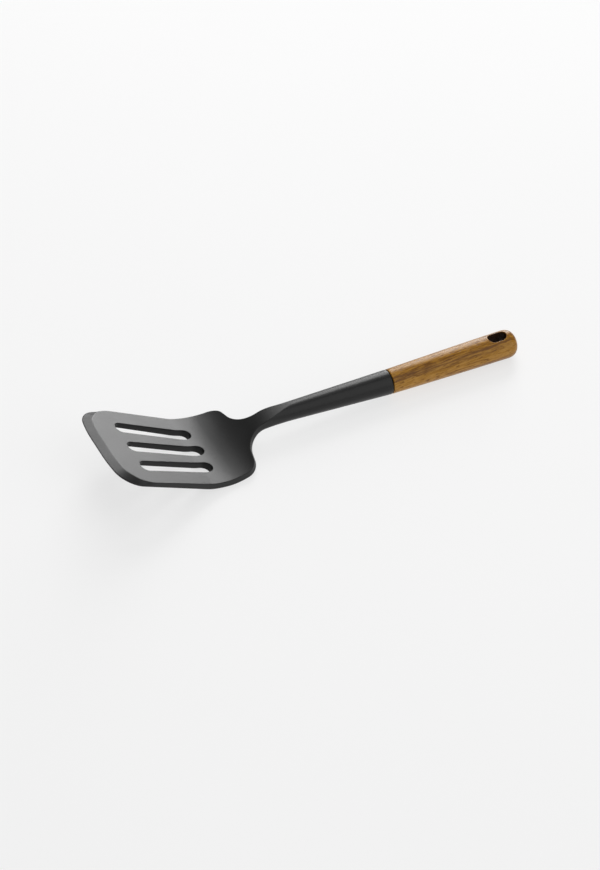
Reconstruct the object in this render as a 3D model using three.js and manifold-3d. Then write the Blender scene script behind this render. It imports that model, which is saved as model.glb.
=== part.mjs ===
// Slotted kitchen turner: a one-piece silicone head moulded over a stiff core,
// whose tang is bonded into a round wooden handle.
//
// Every piece is drawn in the blade's own frame: X runs back from the front edge,
// Y across the blade and Z up from the flat top face. The finished group is then
// tilted so that the turner lies on its heel and its handle end, as on a table.

import * as THREE from "three";
import { mergeVertices } from "three/addons/utils/BufferGeometryUtils.js";
import Module from "manifold-3d";

// Driving sizes: millimetres, and degrees where the name says angle.

// Blade, seen from above
const BLADE_LENGTH = 70.3; // flat run from the front edge to the heel bend
const BLADE_WIDTH = 79; // across the front corners, before they are rounded
const FRONT_WIDTH = 31; // straight middle of the front edge
const FRONT_BOW = 3.8; // how far the front edge falls back towards its corners
const FRONT_RADIUS = 91; // where the straight middle runs into the bow
const CORNER_RADIUS = 17;
const HEEL_WIDTH = 65.1; // across the shoulders
const SHOULDER_AT = 35.6; // shoulders, behind the start of the heel bend
const SHOULDER_RADIUS = 14.8;
const SHOULDER_SLANT = 5.5; // how far the shoulders fall back towards the shank
const NECK_FILLET = 16.8; // inside radius between shoulders and shank

// Blade, seen from the side
const FRONT_THICKNESS = 3.3;
const HEEL_THICKNESS = 4.7;
const EDGE_RADIUS = 0.8; // rounded edge round the blade's underside
const LIP_THICKNESS = 1; // left at the front edge below its bevel
const BEVEL_WIDTH = 6;
const BEVEL_START = 5; // where the bevel begins to turn into the side wall
const BEVEL_END = 27; // and where it has become that wall
const HEEL_RADIUS = 32.8;
const HEEL_ANGLE = 36.4; // turn of the tight heel bend
const RISE_RADIUS = 81.5;
const RISE_ANGLE = 17.3; // further turn up to the neck
const SHOULDER_SAG = 1.4; // how far the shoulders hang below the middle of the heel
const CREST_RADIUS = 74; // reverse bend that levels the neck off into the shank

// Slots
const SLOT_WIDTH = 9.5;
const SLOT_LENGTH = 58.6; // middle slot
const SIDE_SLOT_LENGTH = 57.7;
const SLOT_START = 22.6; // behind the front edge
const SLOT_PITCH = 20; // between slot ends at the front
const SLOT_FAN_ANGLE = 3.5;

// Shank and handle
const HANDLE_ANGLE = 26.8; // handle axis above the blade
const SHANK_FALL_ANGLE = 0.3; // shank's top line below the handle axis direction
const SHANK_LENGTH = 71; // straight shank, from the neck's crest to the joint
const SHANK_DIAMETER = 13; // at the crest
const JOINT_DIAMETER = 17.1;
const RIM_RADIUS = 1.2; // rounded rear edge of the silicone
const HANDLE_LENGTH = 96.4;
const HANDLE_WAIST_DIAMETER = 18.2; // a third of the way along the handle
const HANDLE_END_DIAMETER = 19.6;
const HANDLE_DOME = 8.2; // length of the rounded end
const HANDLE_EDGE = 0.5; // small chamfer round the wood's front face
const HANG_HOLE_LENGTH = 13.4;
const HANG_HOLE_WIDTH = 8.2;
const HANG_HOLE_INSET = 14.2; // hole's middle, before the handle's end

// Core, bond and fits
const CORE_THICKNESS = 1.8; // plate inside the blade
const CORE_FRONT = 14; // silicone in front of the core
const CORE_MARGIN = 4; // silicone outside the core at the blade's sides
const CORE_SLOT_MARGIN = 1.7; // silicone between a slot and the core
const CORE_ROD_DIAMETER = 8; // core inside the shank, and its tang
const TANG_LENGTH = 42; // core inside the handle
const BOND_THICKNESS = 0.8;
const CLEARANCE = 0.3; // between pieces that touch

const wasm = await Module();
wasm.setup();

const { cos, sin, sqrt, min, max, hypot, PI } = Math;
const rad = THREE.MathUtils.degToRad;
const mix = THREE.MathUtils.lerp;
const smoothstep = THREE.MathUtils.smoothstep;

/** The larger of a and b, rounded over where they meet. */
const softMax = (a, b, round) => (a + b + hypot(a - b, round)) / 2;

/** A side profile of lines and arcs in the XZ plane, each tangent to the last. */
class Profile {
  constructor(steps) {
    this.steps = [];
    let [x, z, angle, start] = [0, 0, 0, 0];
    for (const { length = 0, radius = 0, turn = 0 } of steps) {
      const run = length || Math.abs(radius * turn);
      const bend = length ? 0 : turn / run;
      this.steps.push({ x, z, angle, start, run, bend });
      ({ x, z, angle } = this.at(start + run));
      start += run;
    }
  }
  /** Point and slope at a distance along the profile. */
  at(distance) {
    const step = this.steps.findLast((s) => s.start <= distance) ?? this.steps[0];
    const { x, z, angle, bend } = step;
    const run = distance - step.start;
    const slope = angle + bend * run;
    if (bend === 0) {
      return { x: x + run * cos(angle), z: z + run * sin(angle), angle };
    }
    return {
      x: x + (sin(slope) - sin(angle)) / bend,
      z: z - (cos(slope) - cos(angle)) / bend,
      angle: slope,
    };
  }
}

/** A polyline with its inner corners rounded, each radius limited by its sides. */
function filletedLine(corners, radii, steps = 5) {
  const points = [new THREE.Vector2(...corners[0])];
  for (let k = 1; k < corners.length - 1; k++) {
    const [before, corner, after] = [k - 1, k, k + 1].map((i) => new THREE.Vector2(...corners[i]));
    const back = before.clone().sub(corner);
    const ahead = after.clone().sub(corner);
    const room = 0.49 * min(back.length(), ahead.length());
    back.normalize();
    ahead.normalize();
    const half = Math.acos(THREE.MathUtils.clamp(back.dot(ahead), -1, 1)) / 2;
    const reach = min(radii[k] / Math.tan(half), room);
    const radius = reach * Math.tan(half);
    const middle = back.clone().add(ahead).normalize();
    const centre = corner.clone().addScaledVector(middle, radius / sin(half));
    const from = corner.clone().addScaledVector(back, reach).sub(centre);
    const to = corner.clone().addScaledVector(ahead, reach).sub(centre);
    const turn = Math.atan2(from.cross(to), from.dot(to));
    for (let i = 0; i <= steps; i++) {
      const spoke = from.clone().rotateAround(new THREE.Vector2(), (turn * i) / steps);
      points.push(spoke.add(centre));
    }
  }
  points.push(new THREE.Vector2(...corners.at(-1)));
  return points;
}

/** The polyline with its sides divided, each to the longest part allowed at its end. */
function divided(points, longest) {
  const out = [points[0]];
  for (let k = 1; k < points.length; k++) {
    const parts = max(1, Math.ceil(points[k].distanceTo(points[k - 1]) / longest(points[k])));
    for (let i = 1; i <= parts; i++) {
      out.push(points[k - 1].clone().lerp(points[k], i / parts));
    }
  }
  return out;
}

/** A closed skin through rings of equally many points, with flat ends. */
function loft(rings) {
  const size = rings[0].length;
  const positions = rings.flat();
  const triangles = [];
  for (let i = 0; i + 1 < rings.length; i++) {
    for (let j = 0; j < size; j++) {
      const [a, b] = [i * size + j, i * size + ((j + 1) % size)];
      triangles.push(a, b, b + size, a, b + size, a + size);
    }
  }
  const last = positions.length - size;
  for (let j = 1; j + 1 < size; j++) {
    triangles.push(0, j + 1, j, last, last + j, last + j + 1);
  }
  const geometry = new THREE.BufferGeometry().setFromPoints(positions);
  geometry.setIndex(triangles);
  return geometry;
}

/** A geometry as a solid whose faces point out. */
function solid(geometry) {
  const bare = new THREE.BufferGeometry();
  bare.setAttribute("position", geometry.getAttribute("position"));
  bare.setIndex(geometry.getIndex());
  const merged = mergeVertices(bare, 1e-4);
  const triVerts = new Uint32Array(merged.index.array);
  const vertProperties = merged.attributes.position.array;
  const made = new wasm.Manifold(new wasm.Mesh({ numProp: 3, vertProperties, triVerts }));
  if (made.volume() > 0) {
    return made;
  }
  triVerts.reverse();
  return new wasm.Manifold(new wasm.Mesh({ numProp: 3, vertProperties, triVerts }));
}

/** A named mesh from a solid. */
function piece(name, body, material) {
  const { vertProperties, triVerts } = body.getMesh();
  const geometry = new THREE.BufferGeometry();
  geometry.setAttribute("position", new THREE.BufferAttribute(vertProperties, 3));
  geometry.setIndex(new THREE.BufferAttribute(triVerts, 1));
  geometry.computeVertexNormals();
  const mesh = new THREE.Mesh(geometry, material);
  mesh.name = name;
  return mesh;
}

// Side profile of the head's top face
const crestTurn = HANDLE_ANGLE - SHANK_FALL_ANGLE - HEEL_ANGLE - RISE_ANGLE;
const profile = new Profile([
  { length: BLADE_LENGTH },
  { radius: HEEL_RADIUS, turn: rad(HEEL_ANGLE) },
  { radius: RISE_RADIUS, turn: rad(RISE_ANGLE) },
  { radius: CREST_RADIUS, turn: rad(crestTurn) },
  { length: SHANK_LENGTH },
]);
const heelStart = BLADE_LENGTH;
const shoulder = heelStart + SHOULDER_AT;
const crest = profile.steps.at(-1).start;
const joint = crest + SHANK_LENGTH;
const handleTilt = rad(HANDLE_ANGLE);

/** Where a ring stands: its top point, and the direction square to it. */
function station(distance) {
  const { x, z, angle } = profile.at(distance);
  const turn = mix(angle, handleTilt, smoothstep(distance, crest, joint));
  return { x, z, up: new THREE.Vector2(-sin(turn), cos(turn)) };
}

/** How far the heel hangs lower at a distance across than in its middle. */
function sagAt(distance, y) {
  const grown = smoothstep(distance, heelStart, shoulder) * (1 - smoothstep(distance, shoulder, crest));
  return SHOULDER_SAG * grown * (y / (HEEL_WIDTH / 2)) ** 2;
}

/** A ring of [across, up] points set up at a distance along the profile. */
function ringAt(distance, points) {
  const { x, z, up } = station(distance);
  return points.map(([y, n]) => {
    const height = n - sagAt(distance, y);
    return new THREE.Vector3(x + height * up.x, y, z + height * up.y);
  });
}

// The shank is a straight tapered round, carried on as far as the blade
const shankRadius = (distance) =>
  mix(SHANK_DIAMETER / 2, JOINT_DIAMETER / 2, (distance - crest) / SHANK_LENGTH);
const onTop = (distance) => {
  const { x, z } = station(distance);
  return new THREE.Vector2(x, z);
};
const underShank = (distance) =>
  onTop(distance).addScaledVector(station(distance).up, -2 * shankRadius(distance));

/** How far up from a station the line through two points passes. */
function heightOf(from, to, { x, z, up }) {
  const along = to.clone().sub(from);
  return from.clone().sub(new THREE.Vector2(x, z)).cross(along) / up.cross(along);
}

/** Height of the shank's top line and depth of the whole section at a station. */
function bodyDepth(distance) {
  const here = station(distance);
  const plate = mix(FRONT_THICKNESS, HEEL_THICKNESS, min(distance / heelStart, 1));
  if (distance >= crest) {
    return { crown: 0, plate, depth: 2 * shankRadius(distance) };
  }
  const least = distance < shoulder ? 2 * EDGE_RADIUS : 0;
  const crown = max(least, heightOf(onTop(crest), onTop(joint), here));
  if (distance < heelStart) {
    return { crown, plate, depth: plate };
  }
  const shank = -heightOf(underShank(crest), underShank(joint), here);
  const blend = smoothstep(distance, heelStart, shoulder);
  const under = softMax(plate, shank, HEEL_THICKNESS * (1 - smoothstep(distance, shoulder, crest)));
  return { crown, plate, depth: mix(plate, under, blend) };
}

// Half outline of the head in distance along the profile and distance across
const root = shoulder + SHOULDER_SLANT;
const outline = divided(
  filletedLine(
    [
      [0, 0],
      [0, FRONT_WIDTH / 2],
      [FRONT_BOW, BLADE_WIDTH / 2],
      [shoulder, HEEL_WIDTH / 2],
      [root, shankRadius(root)],
      [joint, JOINT_DIAMETER / 2],
    ],
    [0, FRONT_RADIUS, CORNER_RADIUS, SHOULDER_RADIUS, NECK_FILLET, 0],
    8,
  ).slice(1),
  (p) => (p.x < crest ? 3 : 10),
);

/** One side of a section's corner: points from angle a to b about a corner centre. */
function arc(y, n, radius, a, b, steps) {
  const points = [];
  for (let i = 0; i <= steps; i++) {
    const angle = mix(a, b, i / steps);
    points.push([y + radius * cos(angle), n + radius * sin(angle)]);
  }
  return points;
}

/** The head's section: a rounded body with everything above the top face cut off. */
function headSection(distance, half) {
  const { crown, depth } = bodyDepth(distance);
  const round = smoothstep(distance, shoulder - SHOULDER_RADIUS, crest);
  const full = min(half, (depth + crown) / 2);
  const radius = mix(min(EDGE_RADIUS, full), full, round);
  const shoulderY = half - radius;
  const shoulderN = crown - radius;
  const cut = crown >= radius ? 0 : Math.acos(min(1, max(0, -shoulderN / radius)));
  const flat = crown >= radius ? half : shoulderY + radius * sin(cut);
  const top = max(flat, 0.36 * half);
  const start = crown >= radius ? 0 : Math.acos(min(1, max(0, (top - shoulderY) / radius)));
  const face = [];
  for (let i = 1; i < 6; i++) {
    const y = mix(-top, top, i / 6);
    const over = max(0, Math.abs(y) - shoulderY);
    face.push([y, min(0, shoulderN + sqrt(max(0, radius * radius - over * over)))]);
  }
  const wall =
    crown >= radius
      ? [0, 0.3, 0.6, 0.8].map((t) => [half, -t * (depth - radius)])
      : arc(shoulderY, shoulderN, radius, start, 0, 4).slice(0, 4);
  const corner = arc(shoulderY, radius - depth, radius, 0, -PI / 2, 6);
  const right = [...wall, ...corner];
  const left = right.map(([y, n]) => [-y, n]).reverse();
  return [...face, ...right, ...left];
}

/** A long hole with round ends through the blade, square to its top face. */
function slotCutter(length, width, start, across, fan) {
  const shape = new THREE.Shape();
  const [near, far] = [start + width / 2, start + length - width / 2];
  shape.absarc(near, 0, width / 2, PI / 2, 1.5 * PI);
  shape.absarc(far, 0, width / 2, -PI / 2, PI / 2);
  const tall = 4 * HEEL_RADIUS;
  const cutter = new THREE.ExtrudeGeometry(shape, { depth: tall, bevelEnabled: false, curveSegments: 10 });
  cutter.translate(-near, 0, -tall / 2);
  cutter.rotateZ(fan);
  cutter.translate(near, across, 0);
  return solid(cutter);
}

/** The three slots, drawn in by an amount on every side. */
function slots(inset) {
  const [start, width] = [SLOT_START + inset, SLOT_WIDTH - 2 * inset];
  const fan = rad(SLOT_FAN_ANGLE);
  return [
    slotCutter(SLOT_LENGTH - 2 * inset, width, start, 0, 0),
    slotCutter(SIDE_SLOT_LENGTH - 2 * inset, width, start, SLOT_PITCH, -fan),
    slotCutter(SIDE_SLOT_LENGTH - 2 * inset, width, start, -SLOT_PITCH, fan),
  ];
}

/** What the front bevel takes off: a wedge along the edge that turns into the side wall. */
function bevelCutter() {
  const front = outline.slice(0, outline.findIndex((p) => p.x > BEVEL_END) + 1);
  const edge = [...front.map((p) => new THREE.Vector2(p.x, -p.y)).reverse(), ...front];
  const fall = FRONT_THICKNESS - LIP_THICKNESS;
  const reach = FRONT_THICKNESS;
  const rings = edge.map((p, k) => {
    const along = edge[min(k + 1, edge.length - 1)].clone().sub(edge[max(k - 1, 0)]).normalize();
    const inward = new THREE.Vector2(along.y, -along.x);
    const width = mix(BEVEL_WIDTH, -CLEARANCE, smoothstep(p.x, BEVEL_START, BEVEL_END));
    const section = [
      [width, 0],
      [-CLEARANCE, -fall],
      [-reach, -fall],
      [-reach, reach],
      [width, reach],
    ];
    return section.map(([inset, z]) => {
      const { x, y } = p.clone().addScaledVector(inward, inset);
      return new THREE.Vector3(x, y, z);
    });
  });
  return solid(loft(rings));
}

/** The head's outer body, with its rounded rear rim. */
function headBody() {
  const rings = outline.map((p) => ringAt(p.x, headSection(p.x, p.y)));
  const rim = rings.pop();
  const centre = ringAt(joint, [[0, -JOINT_DIAMETER / 2]])[0];
  const along = new THREE.Vector3(cos(handleTilt), 0, sin(handleTilt));
  for (let i = 0; i <= 3; i++) {
    const angle = (i * PI) / 6;
    const shrink = 1 - (RIM_RADIUS * (1 - cos(angle))) / (JOINT_DIAMETER / 2);
    const back = RIM_RADIUS * (sin(angle) - 1);
    rings.push(
      rim.map((p) => p.clone().sub(centre).multiplyScalar(shrink).add(centre).addScaledVector(along, back)),
    );
  }
  return solid(loft(rings));
}

// Handle axis: from the middle of the joint, square to the joint's face
const jointTop = station(joint);
const axisStart = new THREE.Vector3(
  jointTop.x - (JOINT_DIAMETER / 2) * jointTop.up.x,
  0,
  jointTop.z - (JOINT_DIAMETER / 2) * jointTop.up.y,
);

/** Turns a shape drawn round +Y from the joint onto the handle axis. */
function ontoHandle(geometry) {
  geometry.rotateZ(-PI / 2);
  geometry.rotateY(-handleTilt);
  geometry.translate(axisStart.x, axisStart.y, axisStart.z);
  return geometry;
}

const rodRadius = CORE_ROD_DIAMETER / 2;
const coreRoot = shoulder - CORE_MARGIN + SHOULDER_SLANT;
const coreOutline = divided(
  filletedLine(
    [
      [CORE_FRONT, 0],
      [CORE_FRONT, BLADE_WIDTH / 2 - 2 * CORE_MARGIN],
      [CORE_FRONT + CORE_MARGIN, BLADE_WIDTH / 2 - CORE_MARGIN],
      [shoulder - CORE_MARGIN, HEEL_WIDTH / 2 - CORE_MARGIN],
      [coreRoot, rodRadius],
      [joint, rodRadius],
    ],
    [0, CORE_MARGIN, CORE_MARGIN, SHOULDER_RADIUS, NECK_FILLET, 0],
    3,
  ).slice(1),
  (p) => (p.x < crest ? 5 : 12),
);

/** The core, grown on every side: a slotted plate that gathers into a round rod and tang. */
function coreBody(grow, tangEnd) {
  const rings = coreOutline.map((p, k) => {
    const { depth, plate } = bodyDepth(p.x);
    const gather = smoothstep(p.x, shoulder - SHOULDER_RADIUS, crest);
    const middle = p.x < crest ? mix(plate, depth, gather) / 2 : depth / 2;
    const half = p.y + grow;
    const thick = mix(CORE_THICKNESS / 2, rodRadius, gather) + grow;
    const radius = min(half, thick) * mix(0.3, 1, gather);
    const right = [
      ...arc(half - radius, -middle + thick - radius, radius, PI / 2, 0, 4),
      ...arc(half - radius, -middle - thick + radius, radius, 0, -PI / 2, 4),
    ];
    const left = right.map(([y, n]) => [-y, n]).reverse();
    return ringAt(k === 0 ? p.x - grow : p.x, [...right, ...left]);
  });
  const tang = rings.at(-1);
  const along = new THREE.Vector3(cos(handleTilt), 0, sin(handleTilt));
  rings.push(tang.map((p) => p.clone().addScaledVector(along, tangEnd)));
  return slots(-CORE_SLOT_MARGIN + grow).reduce((body, slot) => body.subtract(slot), solid(loft(rings)));
}

/** A turned piece from [radius, length] points, set on the handle axis. */
function turned(points, sides) {
  const outlinePoints = points.map(([r, l]) => new THREE.Vector2(r, l));
  return solid(ontoHandle(new THREE.LatheGeometry(outlinePoints, sides)));
}

const bondInner = rodRadius + CLEARANCE;
const bondOuter = bondInner + BOND_THICKNESS;
const socketRadius = bondOuter + CLEARANCE;
const bondFloor = TANG_LENGTH + CLEARANCE;
const bondEnd = bondFloor + BOND_THICKNESS;
const socketDepth = bondEnd + CLEARANCE;

/** The cured adhesive: a thin cup round the tang. */
function bondBody() {
  return turned(
    [
      [0, bondFloor],
      [bondInner, bondFloor],
      [bondInner, 2 * CLEARANCE],
      [bondOuter, 2 * CLEARANCE],
      [bondOuter, bondEnd],
      [0, bondEnd],
    ],
    28,
  );
}

/** The turned wooden handle with its blind socket, domed end and hang hole. */
function handleBody() {
  const front = CLEARANCE;
  const domeStart = HANDLE_LENGTH - HANDLE_DOME;
  const swell = new THREE.CatmullRomCurve3([
    new THREE.Vector3(JOINT_DIAMETER / 2, front + HANDLE_EDGE, 0),
    new THREE.Vector3(HANDLE_WAIST_DIAMETER / 2, HANDLE_LENGTH / 3, 0),
    new THREE.Vector3(HANDLE_END_DIAMETER / 2, domeStart, 0),
  ]);
  const profilePoints = [
    [0, socketDepth],
    [socketRadius, socketDepth],
    [socketRadius, front],
    [JOINT_DIAMETER / 2 - HANDLE_EDGE, front],
    ...swell.getPoints(7).map((p) => [p.x, p.y]),
  ];
  for (let i = 1; i <= 7; i++) {
    const angle = (i * PI) / 14;
    const radius = (HANDLE_END_DIAMETER / 2) * max(0, cos(angle)) ** 0.8;
    profilePoints.push([i === 7 ? 0 : radius, domeStart + HANDLE_DOME * sin(angle) ** 0.8]);
  }
  const hole = new THREE.Shape();
  const run = (HANG_HOLE_LENGTH - HANG_HOLE_WIDTH) / 2;
  hole.absarc(0, run, HANG_HOLE_WIDTH / 2, 0, PI);
  hole.absarc(0, -run, HANG_HOLE_WIDTH / 2, PI, 2 * PI);
  const tall = 2 * HANDLE_END_DIAMETER;
  const cutter = new THREE.ExtrudeGeometry(hole, { depth: tall, bevelEnabled: false, curveSegments: 10 });
  cutter.translate(0, 0, -tall / 2);
  cutter.translate(0, HANDLE_LENGTH - HANG_HOLE_INSET, 0);
  return turned(profilePoints, 40).subtract(solid(ontoHandle(cutter)));
}

const silicone = new THREE.MeshStandardMaterial({ color: 0x3a3b3c, roughness: 0.62, metalness: 0 });
const nylon = new THREE.MeshStandardMaterial({ color: 0x2a2a2c, roughness: 0.5, metalness: 0 });
const resin = new THREE.MeshStandardMaterial({ color: 0xb9a06a, roughness: 0.3, metalness: 0 });
const acacia = new THREE.MeshStandardMaterial({ color: 0x8a5f33, roughness: 0.55, metalness: 0 });

const head = [bevelCutter(), ...slots(0), coreBody(CLEARANCE, 2 * CLEARANCE + RIM_RADIUS)].reduce(
  (body, cutter) => body.subtract(cutter),
  headBody(),
);

const turner = new THREE.Group();
turner.add(
  piece("silicone_head", head, silicone),
  piece("core", coreBody(0, TANG_LENGTH), nylon),
  piece("epoxy_bond", bondBody(), resin),
  piece("wood_handle", handleBody(), acacia),
);

// Lying at rest: the lowest line that touches both the heel and the handle
const sideView = (name) => {
  const position = turner.getObjectByName(name).geometry.getAttribute("position");
  return Array.from({ length: position.count }, (_, i) => new THREE.Vector2(position.getX(i), position.getZ(i)));
};
const handlePoints = sideView("wood_handle");
const heelEnd = onTop(shoulder).x;
const heelPoints = sideView("silicone_head").filter((p) => p.x > heelStart - HEEL_RADIUS && p.x < heelEnd);
const slopes = heelPoints.map((h) => min(...handlePoints.map((p) => Math.atan2(p.y - h.y, p.x - h.x))));
turner.rotation.y = max(...slopes);
turner.updateMatrixWorld(true);
const box = new THREE.Box3().setFromObject(turner, true);
turner.position.set(-(box.min.x + box.max.x) / 2, 0, -box.min.z);

const part = new THREE.Group();
part.add(turner);

export default part;
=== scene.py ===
"""Slotted silicone kitchen turner with a round wooden handle, dressed for the studio.

The head and the handle are worked out as numpy surfaces in the blade's own frame:
millimetres, x back from the front edge, y across the blade, z up from its flat top
face. They are then laid down on the table as the solids lie, in metres.
"""

import logging
import math
from dataclasses import dataclass, field
from enum import Enum
from typing import Any

import bmesh
import bpy
import numpy as np
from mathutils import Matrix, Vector

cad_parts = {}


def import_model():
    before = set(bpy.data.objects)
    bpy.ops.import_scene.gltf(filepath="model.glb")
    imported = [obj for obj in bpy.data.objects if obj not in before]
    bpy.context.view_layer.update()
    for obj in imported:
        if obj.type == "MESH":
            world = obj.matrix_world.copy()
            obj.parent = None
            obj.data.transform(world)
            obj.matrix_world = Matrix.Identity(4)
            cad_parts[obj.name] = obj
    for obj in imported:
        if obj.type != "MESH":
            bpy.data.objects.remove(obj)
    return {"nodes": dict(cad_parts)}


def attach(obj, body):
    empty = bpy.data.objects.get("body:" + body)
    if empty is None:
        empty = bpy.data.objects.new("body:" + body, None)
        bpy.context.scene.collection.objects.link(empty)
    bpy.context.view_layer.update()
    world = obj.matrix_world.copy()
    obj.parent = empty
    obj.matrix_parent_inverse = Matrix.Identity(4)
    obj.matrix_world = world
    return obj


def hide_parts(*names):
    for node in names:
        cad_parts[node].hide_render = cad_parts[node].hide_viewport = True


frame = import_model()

Array = np.ndarray
Pair = tuple[float, float]
Triple = tuple[float, float, float]
Colour = tuple[float, float, float, float]
Shares = tuple[float, ...]

LOG = logging.getLogger("turner")
IMAGE_SIZE = (600, 870)
METRES_PER_MM = 0.001
# Points that agree to this many digits of a metre become one.
WELD_DIGITS = 7
# Attribute of a skin: how deep inside a hole each point is, from 0 to 1; the finishes paint shade in the
# holes from it.
HOLE_SHADE = "bore"
# An arc takes at most this share of the shorter side at its corner.
CORNER_SHARE = 0.62
# Shares of the way from a block of a face to the eased rim of the hole in it.
RIM_STEPS = np.array([0.0, 0.3, 0.6, 0.85, 0.95])[:, None]


def smooth(value: Array, low: float, high: float) -> Array:
    """Rises from 0 at low to 1 at high along the cubic 3t^2 - 2t^3."""
    t = np.clip((value - low) / (high - low), 0.0, 1.0)
    return t * t * (3.0 - 2.0 * t)


def mix(a: Any, b: Any, t: Any) -> Any:
    """Goes straight from a to b as t goes from 0 to 1."""
    return a + (b - a) * t


def soft_max(a: Array, b: Array, ease: Array) -> Array:
    """The larger of a and b, rounded over by ease where they meet."""
    return (a + b + np.hypot(a - b, ease)) / 2.0


def stack(*values: Array | float) -> Array:
    """Makes values, each spread to one shape, the coordinates of points on a new last axis."""
    return np.stack(np.broadcast_arrays(*values), axis=-1)


def apart(points: Array) -> Array:
    """Takes points apart into their coordinates."""
    return np.moveaxis(points, -1, 0)


def before(steps: Array) -> Array:
    """Sum of the steps before each one, from 0."""
    return np.concatenate([[0.0], np.cumsum(steps)[:-1]])


def arc_height(radius: Array, offset: Array) -> Array:
    """Height of a circle above its middle at an offset to the side: root of r^2 - d^2, or 0."""
    return np.sqrt(np.maximum(radius**2 - offset**2, 0.0))


def eased_corner(start: Array, corner: Array, end: Array, count: int) -> Array:
    """Rounds a corner: a parabola that leaves start and reaches end along the corner's sides.

    Args:
        start: point on the first side, last axis the coordinates.
        corner: the sharp corner.
        end: point on the second side.
        count: how many points to give.

    Returns:
        The points, on a new axis before the coordinates.
    """
    t = np.linspace(0.0, 1.0, count)[:, None]
    a, b, c = (p[..., None, :] for p in (start, corner, end))
    return a * (1 - t) ** 2 + b * (2 * t * (1 - t)) + c * t**2


@dataclass
class Skin:
    """Gathers grids of points into one closed mesh."""

    points: list[Array] = field(default_factory=list)
    quads: list[Array] = field(default_factory=list)
    shades: list[Array] = field(default_factory=list)

    def add_grid(
        self, grid: Array, keep: Array | bool = True, ring: bool = False, shade: Array | float = 0.0
    ) -> None:
        """Adds a grid and the quads between its neighbours.

        Args:
            grid: points, as rows by columns by 3.
            keep: which quads stay, as rows by columns of quads.
            ring: whether each row closes on itself.
            shade: how deep inside a hole each point is, from 0 to 1.
        """
        rows, columns = grid.shape[:2]
        index = sum(map(len, self.points)) + np.arange(rows * columns).reshape(rows, columns)
        if ring:
            index = np.concatenate([index, index[:, :1]], axis=1)
        quads = stack(index[:-1, :-1], index[1:, :-1], index[1:, 1:], index[:-1, 1:])
        self.points.append(grid.reshape(-1, 3))
        self.quads.append(quads[np.broadcast_to(keep, quads.shape[:2])])
        self.shades.append(np.broadcast_to(shade, grid.shape[:2]).reshape(-1))

    def to_object(self, name: str) -> bpy.types.Object:
        """Welds the grids where they meet and makes the mesh object.

        Points that fall on each other become one, and a quad with two equal corners
        becomes a triangle.

        Args:
            name: the piece's name.

        Returns:
            The object, at the origin, smooth and with its faces outwards.
        """
        points = np.concatenate(self.points)
        quads = np.concatenate(self.quads)
        near = np.round(points, WELD_DIGITS)
        _, first, place = np.unique(near, axis=0, return_index=True, return_inverse=True)
        quads = place.reshape(-1)[quads]
        same = quads == np.roll(quads, -1, axis=1)
        folded = same.sum(axis=1)
        whole = quads[folded == 0]
        thirds = quads[folded == 1][~same[folded == 1]].reshape(-1, 3)
        mesh = bpy.data.meshes.new(name)
        mesh.from_pydata(points[first].tolist(), [], whole.tolist() + thirds.tolist())
        body = bmesh.new()
        body.from_mesh(mesh)
        bmesh.ops.recalc_face_normals(body, faces=body.faces)
        body.to_mesh(mesh)
        body.free()
        mesh.polygons.foreach_set("use_smooth", np.ones(len(mesh.polygons), dtype=bool))
        shade = mesh.attributes.new(HOLE_SHADE, "FLOAT", "POINT")
        shade.data.foreach_set("value", np.concatenate(self.shades)[first])
        mesh.update()
        made = bpy.data.objects.new(name, mesh)
        bpy.context.scene.collection.objects.link(made)
        LOG.info("%s: %d faces", name, len(mesh.polygons))
        return made


@dataclass(frozen=True)
class Lie:
    """How one frame lies in another: tilted about the y axis, shifted, then scaled."""

    tilt: float
    along: float
    lift: float
    scale: float = 1.0

    def place(self, points: Array) -> Array:
        """Moves points into the other frame.

        Args:
            points: the points, last axis x, y, z.

        Returns:
            The same points there.
        """
        x, y, z = apart(points)
        c, s = math.cos(self.tilt), math.sin(self.tilt)
        placed = stack(x * c + z * s + self.along, y, z * c - x * s + self.lift)
        return placed * self.scale


# The blade's frame on the table: the turner rests on its heel and its handle's end.
ON_TABLE = Lie(math.radians(27.585736), -152.807489, 41.854371, METRES_PER_MM)


class SideProfile:
    """Side view of the head's top face: lines and arcs, each tangent to the last."""

    def __init__(self, runs: Array, turns: Array) -> None:
        """Sets up where each run starts.

        Args:
            runs: length of each run.
            turns: how far each run turns up, in radians.
        """
        self.bend = turns / runs
        self.start, self.angle = before(runs), before(turns)
        self.point = before(self.chord(runs, self.bend, self.angle))

    @staticmethod
    def chord(run: Array, bend: Array, angle: Array) -> Array:
        """Step x + iz over a run L of bend k: L sinc(k L / 2), half way through the turn."""
        half = bend * run / 2
        return run * np.sinc(half / np.pi) * np.exp(1j * (angle + half))

    def at(self, distance: Array) -> tuple[Array, Array, Array]:
        """Reads the profile.

        Args:
            distance: how far along it.

        Returns:
            x, z and slope there.
        """
        k = np.maximum(np.searchsorted(self.start, distance, side="right") - 1, 0)
        run = distance - self.start[k]
        point = self.point[k] + self.chord(run, self.bend[k], self.angle[k])
        return point.real, point.imag, self.angle[k] + self.bend[k] * run


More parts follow.
